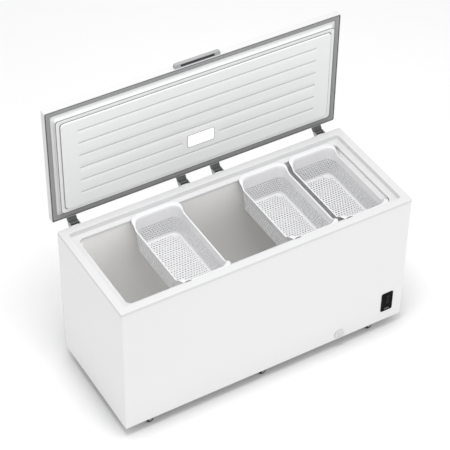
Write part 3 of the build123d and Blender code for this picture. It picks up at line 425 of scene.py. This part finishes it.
# the raised panel is a grid with out = second - groove depth, and rings of (inset, height) carry its border
# down the two steps to the flange under the seal
def makeLidLiner():
    p = liner
    top = p["plugSide"] + p["plateau"]
    wall, flange, first, second = p["plugSide"], p["flange"], p["first"], p["second"]
    seam = first - p["crease"]
    rings = np.array([
        (top + 4.0 * mm, second), (top + 2.2 * mm, second - 0.3 * mm), (top + 1.0 * mm, second - 1.2 * mm),
        (top + 0.3 * mm, second - 3.0 * mm), (top, first + 0.5 * mm), (top - 0.3 * mm, seam),
        (top - 3.2 * mm, seam), (top - 3.8 * mm, first), (wall + 4.0 * mm, first),
        (wall + 2.2 * mm, first - 0.4 * mm), (wall + 1.0 * mm, first - 1.5 * mm),
        (wall + 0.4 * mm, first - 3.5 * mm), (wall, flange + 3.0 * mm), (wall - 0.4 * mm, flange + 0.8 * mm),
        (wall - 1.4 * mm, flange), (p["edge"], flange)])
    inset, height = rings[:, 0], rings[:, 1]
    radii = np.interp(inset, [p["edge"], wall - 2 * mm, wall + 2 * mm, top],
                      [p["cornerFlange"], p["cornerPlug"], p["cornerPlug"], p["cornerPanel"]])
    extra = np.interp(inset, [p["edge"], wall - 2 * mm], [0, p["plugLong"] - wall])
    a, b, r = lidHalfX - inset[0], lidHalfLength - inset[0] - extra[0], radii[0]
    nearEnd = np.array([-9, -4.4, -3.3, -2.2, -1.1, 0, 1.5]) * mm
    xs = np.concatenate([p["ribReach"] + nearEnd, -p["ribReach"] - nearEnd, p["lampGap"] - nearEnd,
                         nearEnd - p["lampGap"], np.linspace(-(a - r), a - r, 41)])
    acrossRib = np.array([-5.4, -4.4, -3.6, -2.8, -1.9, -0.8, 0.8, 1.9, 2.8, 3.6, 4.4, 5.4]) * mm
    ribs = -lidHalfLength + p["ribFirst"] + p["ribPitch"] * np.arange(p["ribCount"])
    ups = np.concatenate([(ribs[:, None] + acrossRib).ravel(), np.linspace(-(b - r), b - r, 15)])
    codesX = lineCodes(np.unique(np.round(xs, 6)) / (a - r), 7)
    codesY = lineCodes(np.unique(np.round(ups, 6)) / (b - r), 7)
    gx, gy = np.meshgrid(codesX, codesY, indexing="ij")
    x, up = roundedSpot(gx, gy, a, b, r)
    panel = onLid(x, up, p["second"] - ribDepth(x, up)).reshape(-1, 3)
    quads = gridQuads(len(codesX), len(codesY))
    cx, cy = borderCodes(codesX, codesY)
    x, up = roundedSpot(cx[:, None], cy[:, None], lidHalfX - inset, lidHalfLength - inset - extra, radii)
    border = onLid(x, up, np.broadcast_to(height, x.shape)).reshape(-1, 3)
    around = gridQuads(len(cx), len(rings), True)[:, ::-1] + len(panel)
    # painted shade: the rib grooves get a darker copy of the liner's white, and the two creases, at the foot
    # of the raised panel and on the plug's edge, get a dark grey
    middle = panel[quads].mean(axis=1)
    onRib = ribDepth(middle[:, 0], middle[:, 2] - lidMidZ) > 0.3 * p["ribDeep"]
    band = np.arange(len(around)) % (len(rings) - 1)
    kinds = np.concatenate([np.where(onRib, 2, 0), np.where(np.isin(band, (4, 5, 6, 8, 9, 10)), 1, 0)])
    piece = makePiece("lidPanel", np.vstack([panel, border]), np.vstack([quads, around]), lidWhite, "lid",
                      crease=60.0, others=(creaseShadeGrey, ribGrooveShade), kinds=kinds)
    thicken(piece, p["wall"])
    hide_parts("lid_inner_liner")
    return piece


makeLidLiner()


# the seal's section: a rolled outer fin, a narrow groove and a broad soft face
def makeSeal():
    section = np.array([
        (3.2, -5.8), (3.0, -3.2), (3.2, -1.2), (3.8, -0.4), (4.5, -0.4), (5.0, -1.4), (5.3, -5.0),
        (7.8, -5.0), (8.1, -1.6), (8.8, -0.5), (10.5, -0.05), (15.0, -0.05), (21.0, -0.15),
        (26.5, -0.5), (29.2, -1.6), (30.6, -3.6), (30.9, -5.8)]) * mm
    radii = np.interp(section[:, 0], [3 * mm, 31 * mm], [8 * mm, 12 * mm])
    points, columns = carryRound(section, lidHalfX, lidHalfLength, radii, 0.0)
    points = onLid(points[:, :, 0], points[:, :, 1], points[:, :, 2]).reshape(-1, 3)
    quads = gridQuads(columns, len(section), True, True)
    if signedVolume(points, quads) < 0:
        quads = quads[:, ::-1]
    # the groove's faces take the painted shade
    groove = np.isin(np.arange(len(quads)) % len(section), (5, 6, 7))
    piece = makePiece("lidSeal", points, quads, sealGrey, "lid", crease=50.0, others=(sealShadeDark,),
                      kinds=groove)
    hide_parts("lid_gasket")


makeSeal()

grip = {
    "reach": 126 * mm, "out": 24 * mm, "endRound": 9 * mm, "pocketReach": 94 * mm, "pocketDeep": 15 * mm,
    "thick": 21 * mm, "lip": 2.6 * mm, "pocketHigh": 15.6 * mm, "topRound": 5 * mm,
}


# one closed section carried along x; the pocket's depth is D(x) = deep * ease((reach - |x|) / 4 mm), and
# the height falls to a quarter circle at the two ends
def makeGrip():
    g = grip
    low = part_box("lid_handle")[0]
    arc = g["reach"] - g["endRound"] * (1 - np.sin(np.radians(np.linspace(0, 90, 8))))
    mouth = g["pocketReach"] + np.array([-6, -4, -3, -2, -1, 0, 1]) * mm
    half = np.concatenate([[0.0, 30 * mm, 60 * mm], mouth, [100 * mm, 112 * mm], arc])
    xs = np.concatenate([-half[:0:-1], half])
    tall = g["out"] - g["endRound"] + np.sqrt(np.maximum(g["endRound"] ** 2 - np.clip(
        np.abs(xs) - (g["reach"] - g["endRound"]), 0, g["endRound"]) ** 2, 0))
    deep = g["pocketDeep"] * ease((g["pocketReach"] - np.abs(xs)) / (4 * mm))
    y0, y1, t = low.y, low.y + g["thick"], g["topRound"]
    # each section point: y, share of pocket depth, height
    lip, mouthTop = g["lip"], g["lip"] + g["pocketHigh"]
    rounding = arcPoints(y1 - t, g["out"] - t, t, 90, 0)
    section = np.array([
        (y0, 0, 0), (y0, 0, lip - 0.8 * mm), (y0 + 0.3 * mm, 0, lip - 0.2 * mm),
        (y0, 0.06, lip), (y0, 0.9, lip),
        (y0, 1.0, lip + 2 * mm), (y0, 1.0, mouthTop - 2 * mm), (y0, 0.9, mouthTop), (y0, 0.06, mouthTop),
        (y0 + 0.3 * mm, 0, mouthTop + 0.2 * mm), (y0, 0, mouthTop + 0.8 * mm), (y0, 0, g["out"] - 1.6 * mm),
        (y0 + 0.5 * mm, 0, g["out"] - 0.5 * mm), (y0 + 1.6 * mm, 0, g["out"])]
        + [(y, 0, z) for y, z in rounding] + [(y1, 0, 0)])
    y = section[:, 0] + section[:, 1] * deep[:, None]
    z = low.z + section[:, 2] * (tall / g["out"])[:, None]
    points = np.stack([np.broadcast_to(xs[:, None], y.shape), y, z], 2).reshape(-1, 3)
    rows = len(section)
    faces = gridQuads(len(xs), rows, False, True)
    across = np.abs(points[faces, 0].mean(axis=1))
    part = np.arange(len(faces)) % rows
    # faces inside the pocket take the painted shade
    kinds = np.concatenate([(across < g["pocketReach"]) & (part >= 3) & (part <= 7), (False, False)])
    if signedVolume(points, faces) < 0:
        faces = faces[:, ::-1]
        ends = [list(range(rows)), list(range(len(points) - rows, len(points)))[::-1]]
    else:
        ends = [list(range(rows))[::-1], list(range(len(points) - rows, len(points)))]
    piece = makePiece("lidGrip", points, [list(f) for f in faces] + ends, handleGrey, "lid", crease=40.0,
                      merge=False, others=(pocketShade,), kinds=kinds)
    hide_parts("lid_handle")


makeGrip()
print("lid made")


basket = {
    "halfX": 135 * mm, "halfY": 258 * mm, "corner": 56 * mm, "taper": 14 * mm, "floor": 648 * mm,
    "sideRim": 795 * mm, "endRim": 825 * mm, "fillet": 8 * mm, "holesFrom": 662 * mm, "holePitch": 13 * mm,
    "holeRows": 7, "holeAcross": 0.54, "holeUp": 0.62, "sideLip": 5 * mm, "endLip": 25 * mm, "wall": 2 * mm,
    "cornerHalves": 6, "middleX": 20, "middleY": 54,
    "riseFrom": 59 * mm, "riseOver": 41 * mm,      # where the side rim climbs to the grip, from the end
    "widenFrom": 45 * mm, "widenOver": 40 * mm,    # where the lip widens to the flange
    "slotShift": 106 * mm, "slotInFlange": 7 * mm, "slotHalf": 19 * mm, "slotHigh": 5.5 * mm,
}
ringSteps = np.array([(0, 0), (1, 0), (2, 0), (2, 1), (2, 2), (1, 2), (0, 2), (0, 1)])


# a grid of nu by nv half cells; each hole takes 2 by 2 of them and becomes eight quads round an octagon.
# It returns every point's grid coordinates and the quads
def piercedGrid(nu, nv, holes, across, up, wrap):
    columns = nu if wrap else nu + 1
    u, v = np.meshgrid(np.arange(columns), np.arange(nv + 1), indexing="ij")
    spots = np.stack([u.ravel(), v.ravel()], 1).astype(float)

    # grid point (i, j) is number i * (nv + 1) + j, with i taken round the loop
    def index(i, j):
        return (i % columns) * (nv + 1) + j

    solid = np.ones((nu, nv), bool)
    for di, dj in ((0, 0), (1, 0), (0, 1), (1, 1)):
        solid[(holes[:, 0] + di) % nu, holes[:, 1] + dj] = False
    i, j = np.nonzero(solid)
    plain = np.stack([index(i, j), index(i + 1, j), index(i + 1, j + 1), index(i, j + 1)], 1)
    angle = np.arctan2(ringSteps[:, 1] - 1, ringSteps[:, 0] - 1)
    ring = (holes[:, None, :] + 1 + np.stack([across * np.cos(angle), up * np.sin(angle)], 1)).reshape(-1, 2)
    outer = index(holes[:, 0][:, None] + ringSteps[:, 0], holes[:, 1][:, None] + ringSteps[:, 1])
    inner = len(spots) + np.arange(len(holes) * 8).reshape(-1, 8)
    rim = np.stack([outer, np.roll(outer, -1, 1), np.roll(inner, -1, 1), inner], 2).reshape(-1, 4)
    return np.vstack([spots, ring]), np.vstack([plain, rim])


# staggered holes over a range of half cells, every other row moved along by one half cell
def staggered(firstU, lastU, firstV, rows):
    row = np.arange(rows)
    columns = [np.arange(firstU + k % 2, lastU - 1, 2) for k in row]
    return np.concatenate([np.stack([c, np.full(len(c), firstV + 2 * k)], 1) for k, c in zip(row, columns)])


# wall: P = roundedSpot(border code, half size - lean) with lean = taper * (1 - height share), and past the
# rim outwards by the lip's width; the rim's height is side + (end - side) * ease(|y| near the ends)
def makeBasket(number, centreX):
    b = basket
    corner = b["cornerHalves"]
    codesX = lineCodes(np.linspace(-1, 1, b["middleX"] + 1), corner)
    codesY = lineCodes(np.linspace(-1, 1, b["middleY"] + 1), corner)
    nx, ny = len(codesX) - 1, len(codesY) - 1
    cx, cy = borderCodes(codesX, codesY)
    around = len(cx)
    low = b["floor"]
    f = b["fillet"]

    # the outline at height z: lean = taper * share of the height still to go, plus what is drawn in
    def leaning(codeX, codeY, z, drawnIn):
        lean = b["taper"] * np.clip((b["endRim"] - z) / (b["endRim"] - low), 0, 1) + drawnIn
        return roundedSpot(codeX, codeY, b["halfX"] - lean, b["halfY"] - lean, b["corner"] - lean)

    # rows up the wall: floor fillet, hole zone, plain zone below the rim, rolled lip
    rollIn = 2.2 * mm
    filletSteps = 3
    plainRows, lipRows = 5, 6
    holeRows = 2 * b["holeRows"]
    rows = filletSteps + 1 + holeRows + plainRows + lipRows
    holes = staggered(0, around + 1, filletSteps + 1, b["holeRows"])
    spots, quads = piercedGrid(around, rows, holes, b["holeAcross"], b["holeUp"], True)
    u, v = spots[:, 0] % around, spots[:, 1]
    codeX = np.interp(u, np.arange(around + 1), np.append(cx, cx[0]))
    codeY = np.interp(u, np.arange(around + 1), np.append(cy, cy[0]))
    _, yOut = leaning(codeX, codeY, b["endRim"], 0.0)
    fromEnd = b["halfY"] - np.abs(yOut)
    rim = b["sideRim"] + (b["endRim"] - b["sideRim"]) * ease((b["riseFrom"] - fromEnd) / b["riseOver"])
    lip = b["sideLip"] + (b["endLip"] - b["sideLip"]) * ease((b["widenFrom"] - fromEnd) / b["widenOver"])
    holesTop = b["holesFrom"] + b["holePitch"] * b["holeRows"]
    turn = np.radians(90.0 * np.clip(v / filletSteps, 0, 1))
    zFillet, inFillet = low + f * (1 - np.cos(turn)), f * (1 - np.sin(turn))
    shareHoles = (v - filletSteps - 1) / holeRows
    sharePlain = np.clip((v - filletSteps - 1 - holeRows) / plainRows, 0, 1)
    lipStep = v - filletSteps - 1 - holeRows - plainRows
    z = np.where(v <= filletSteps, zFillet, b["holesFrom"] + shareHoles * (holesTop - b["holesFrom"]))
    z = np.where(v > filletSteps + 1 + holeRows, holesTop + sharePlain * (rim - rollIn - holesTop), z)
    lipOut = np.interp(lipStep, np.arange(lipRows + 1), [0, 0.05, 0.14, 0.5, 0.86, 0.97, 1.0])
    drops = [rollIn, 0.7 * mm, 0.0, 0.0, 0.0, 0.2 * mm, 0.6 * mm]
    lipDown = np.interp(lipStep, np.arange(lipRows + 1), drops)
    z = np.where(lipStep > 0, rim - lipDown, z)
    x, y = leaning(codeX, codeY, z, inFillet)
    xUnit, yUnit = roundedSpot(codeX, codeY, 1.0, 1.0, 1.0)
    out = np.where(lipStep > 0, lip * lipOut, 0.0)
    wall = np.stack([x + xUnit * out, y + yUnit * out, z], 1)

    # floor: holes everywhere except in the four corner zones
    floorHoles = staggered(1, nx, 1, (ny - 1) // 2)
    inCorner = (np.abs(floorHoles[:, 0] + 1 - nx / 2) > nx / 2 - corner) & (
        np.abs(floorHoles[:, 1] + 1 - ny / 2) > ny / 2 - corner)
    spots, floorQuads = piercedGrid(nx, ny, floorHoles[~inCorner], b["holeAcross"], b["holeUp"] * 0.85, False)
    x, y = leaning(np.interp(spots[:, 0], np.arange(nx + 1), codesX),
                   np.interp(spots[:, 1], np.arange(ny + 1), codesY), low, f)
    floor = np.stack([x, y, np.full(len(x), low)], 1)
    points = np.vstack([wall, floor]) + [centreX, cabinetMidY, 0.0]
    faces = np.vstack([quads, floorQuads[:, ::-1] + len(wall)])
    piece = makePiece(f"basketShell_{number}", points, faces, basketWhite, f"basket_{number}", crease=38.0)
    thicken(piece, b["wall"])
    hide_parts(f"basket_{number}")


# a thin closed-edged patch: the outline drawn in by each ring's share about its centre, at the ring's height
def raisedPatch(name, outline, centre, material, body):
    count = len(outline)
    steps = ((1.0, 0.0), (0.97, 0.5 * mm), (0.85, 0.5 * mm), (0.8, 0.1 * mm))
    rings = np.stack([np.column_stack([outline * share + centre[:2], np.full(count, centre[2] + height)])
                      for share, height in steps])
    faces = [list(q) for q in gridQuads(4, count, False, True)[:, ::-1]] + [list(range(3 * count, 4 * count))]
    piece = makePiece(name, rings.reshape(-1, 3), faces, material, body)


# a dark patch of painted shadow over each front grip's finger slot: x = half cos t, y = high sin t (0.75 +
# 0.25 |sin t|)
def makeSlot(number, centreX):
    b = basket
    t = np.linspace(0, 2 * math.pi, 28, endpoint=False)
    high = b["slotHigh"] * np.sin(t) * (0.75 + 0.25 * np.abs(np.sin(t)))
    outline = np.stack([b["slotHalf"] * np.cos(t), high], 1)
    place = (centreX - b["slotShift"], cabinetMidY - b["halfY"] - b["slotInFlange"], b["endRim"] + b["wall"])
    raisedPatch(f"gripSlotShadow_{number}", outline, place, slotShade, f"basket_{number}")


# painted shadow for the drain's mouth in the tub's floor: a dark circle round the bung
def makeDrainMouth():
    low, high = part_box("drain_plug")
    t = np.linspace(0, 2 * math.pi, 32, endpoint=False)
    outline = tub["drainMouthShadow"] * np.stack([np.cos(t), np.sin(t)], 1)
    place = ((low.x + high.x) / 2, (low.y + high.y) / 2, tub["floor"])
    raisedPatch("drainMouthShadow", outline, place, slotShade, "cabinet")


makeDrainMouth()
for number in (1, 2, 3):
    low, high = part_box(f"basket_{number}")
    makeBasket(number, (low.x + high.x) / 2)
    makeSlot(number, (low.x + high.x) / 2)
print("baskets made")


marks = {"dot": 1.6 * mm, "barHalf": 4.2 * mm, "count": 5, "pitch": 12 * mm, "lift": 0.15 * mm}


# small rounded patches in a column: (x, z, half width, half height) each as a disc-mapped grid
def makeMarks():
    m = marks
    low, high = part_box("control_fascia")
    x0, z0 = (low.x + high.x) / 2, (low.z + high.z) / 2
    codes = lineCodes(np.linspace(-1, 1, 3), 3)
    gx, gy = np.meshgrid(codes, codes, indexing="ij")
    patches = [(x0, z0 - 10 * mm + m["pitch"] * i, m["dot"], m["dot"]) for i in range(m["count"])]
    patches += [(x0 + 9 * mm, z0 - 10 * mm + m["pitch"] * i, m["barHalf"] * (0.5 + 0.1 * i), 0.7 * mm)
                for i in range(m["count"])]
    points, faces = [], []
    for x, z, halfWide, halfHigh in patches:
        px, pz = roundedSpot(gx, gy, halfWide, halfHigh, min(halfWide, halfHigh) * 0.95)
        faces.append(gridQuads(len(codes), len(codes)) + len(codes) ** 2 * len(points))
        points.append(np.stack([x + px, np.full(px.shape, low.y - m["lift"]), z + pz], 2).reshape(-1, 3))
    piece = makePiece("panelMarks", np.vstack(points), np.vstack(faces), markGrey, "cabinet")
    thicken(piece, 0.1 * mm)


makeMarks()

view = {
    "lens": 133.0, "sensor": 36.0, "place": (-3.22482, -5.30233, 6.29958),
    "turn": -0.540806, "dip": 0.729457, "tilt": 0.0134612,
}


# a plain sheet centred under the freezer, z = 0
def makeFloor():
    size = 14.0
    corners = np.array([(-size, -size, 0), (size, -size, 0), (size, size, 0), (-size, size, 0)], float)
    mesh = bpy.data.meshes.new("studioFloor")
    mesh.from_pydata(corners.tolist(), [], [(0, 1, 2, 3)])
    paper = finish("studioPaper", (0.94, 0.94, 0.94), 0.9, shade=0.995, specular=0.1, depth=0.0)
    mesh.materials.append(paper)
    floor = bpy.data.objects.new("studioFloor", mesh)
    bpy.context.scene.collection.objects.link(floor)


# a round soft light at place; its back axis runs from aim to place, and side and up are square to it
def makeLight(name, place, aim, size, power):
    data = bpy.data.lights.new(name, "AREA")
    data.shape = "DISK"
    data.size = size
    data.energy = power
    light = bpy.data.objects.new(name, data)
    bpy.context.scene.collection.objects.link(light)
    back = np.array(place, float) - np.array(aim, float)
    back /= np.linalg.norm(back)
    side = np.cross((0.0, 1.0, 0.0) if abs(back[2]) > 0.99 else (0.0, 0.0, 1.0), back)
    side /= np.linalg.norm(side)
    up = np.cross(back, side)
    rows = [(side[k], up[k], back[k], place[k]) for k in range(3)]
    light.matrix_world = Matrix(rows + [(0, 0, 0, 1)])


# right, up and forward from the turn about Z, the dip below the horizon and the tilt about the view line
def makeCamera():
    v = view
    sinTurn, cosTurn = math.sin(v["turn"]), math.cos(v["turn"])
    sinDip, cosDip = math.sin(v["dip"]), math.cos(v["dip"])
    forward = np.array([-sinTurn * cosDip, cosTurn * cosDip, -sinDip])
    right = np.array([cosTurn, sinTurn, 0.0])
    up = np.cross(right, forward)
    c, s = math.cos(v["tilt"]), math.sin(v["tilt"])
    right, up = right * c + up * s, up * c - right * s
    data = bpy.data.cameras.new("studioCamera")
    data.lens = v["lens"]
    data.sensor_width = v["sensor"]
    data.clip_end = 60.0
    camera = bpy.data.objects.new("studioCamera", data)
    bpy.context.scene.collection.objects.link(camera)
    rows = [(right[k], up[k], -forward[k], v["place"][k]) for k in range(3)]
    camera.matrix_world = Matrix(rows + [(0, 0, 0, 1)])
    bpy.context.scene.camera = camera


# even white light from all round, shown with the plain view so that white enamel stays white
def makeSky():
    world = bpy.data.worlds.new("studioSky")
    world.use_nodes = True
    background = world.node_tree.nodes["Background"]
    background.inputs["Color"].default_value = (1.0, 1.0, 1.0, 1.0)
    background.inputs["Strength"].default_value = 0.82
    bpy.context.scene.world = world
    bpy.context.scene.view_settings.view_transform = "Standard"


makeFloor()
makeLight("overheadSoft", (-0.6, -0.6, 5.5), (0.0, 0.0, 0.5), 2.4, 125.0)
makeLight("frontFill", (1.5, -5.0, 2.6), (0.0, 0.0, 0.6), 3.0, 30.0)
makeSky()
makeCamera()
print("floor, lights and camera made")
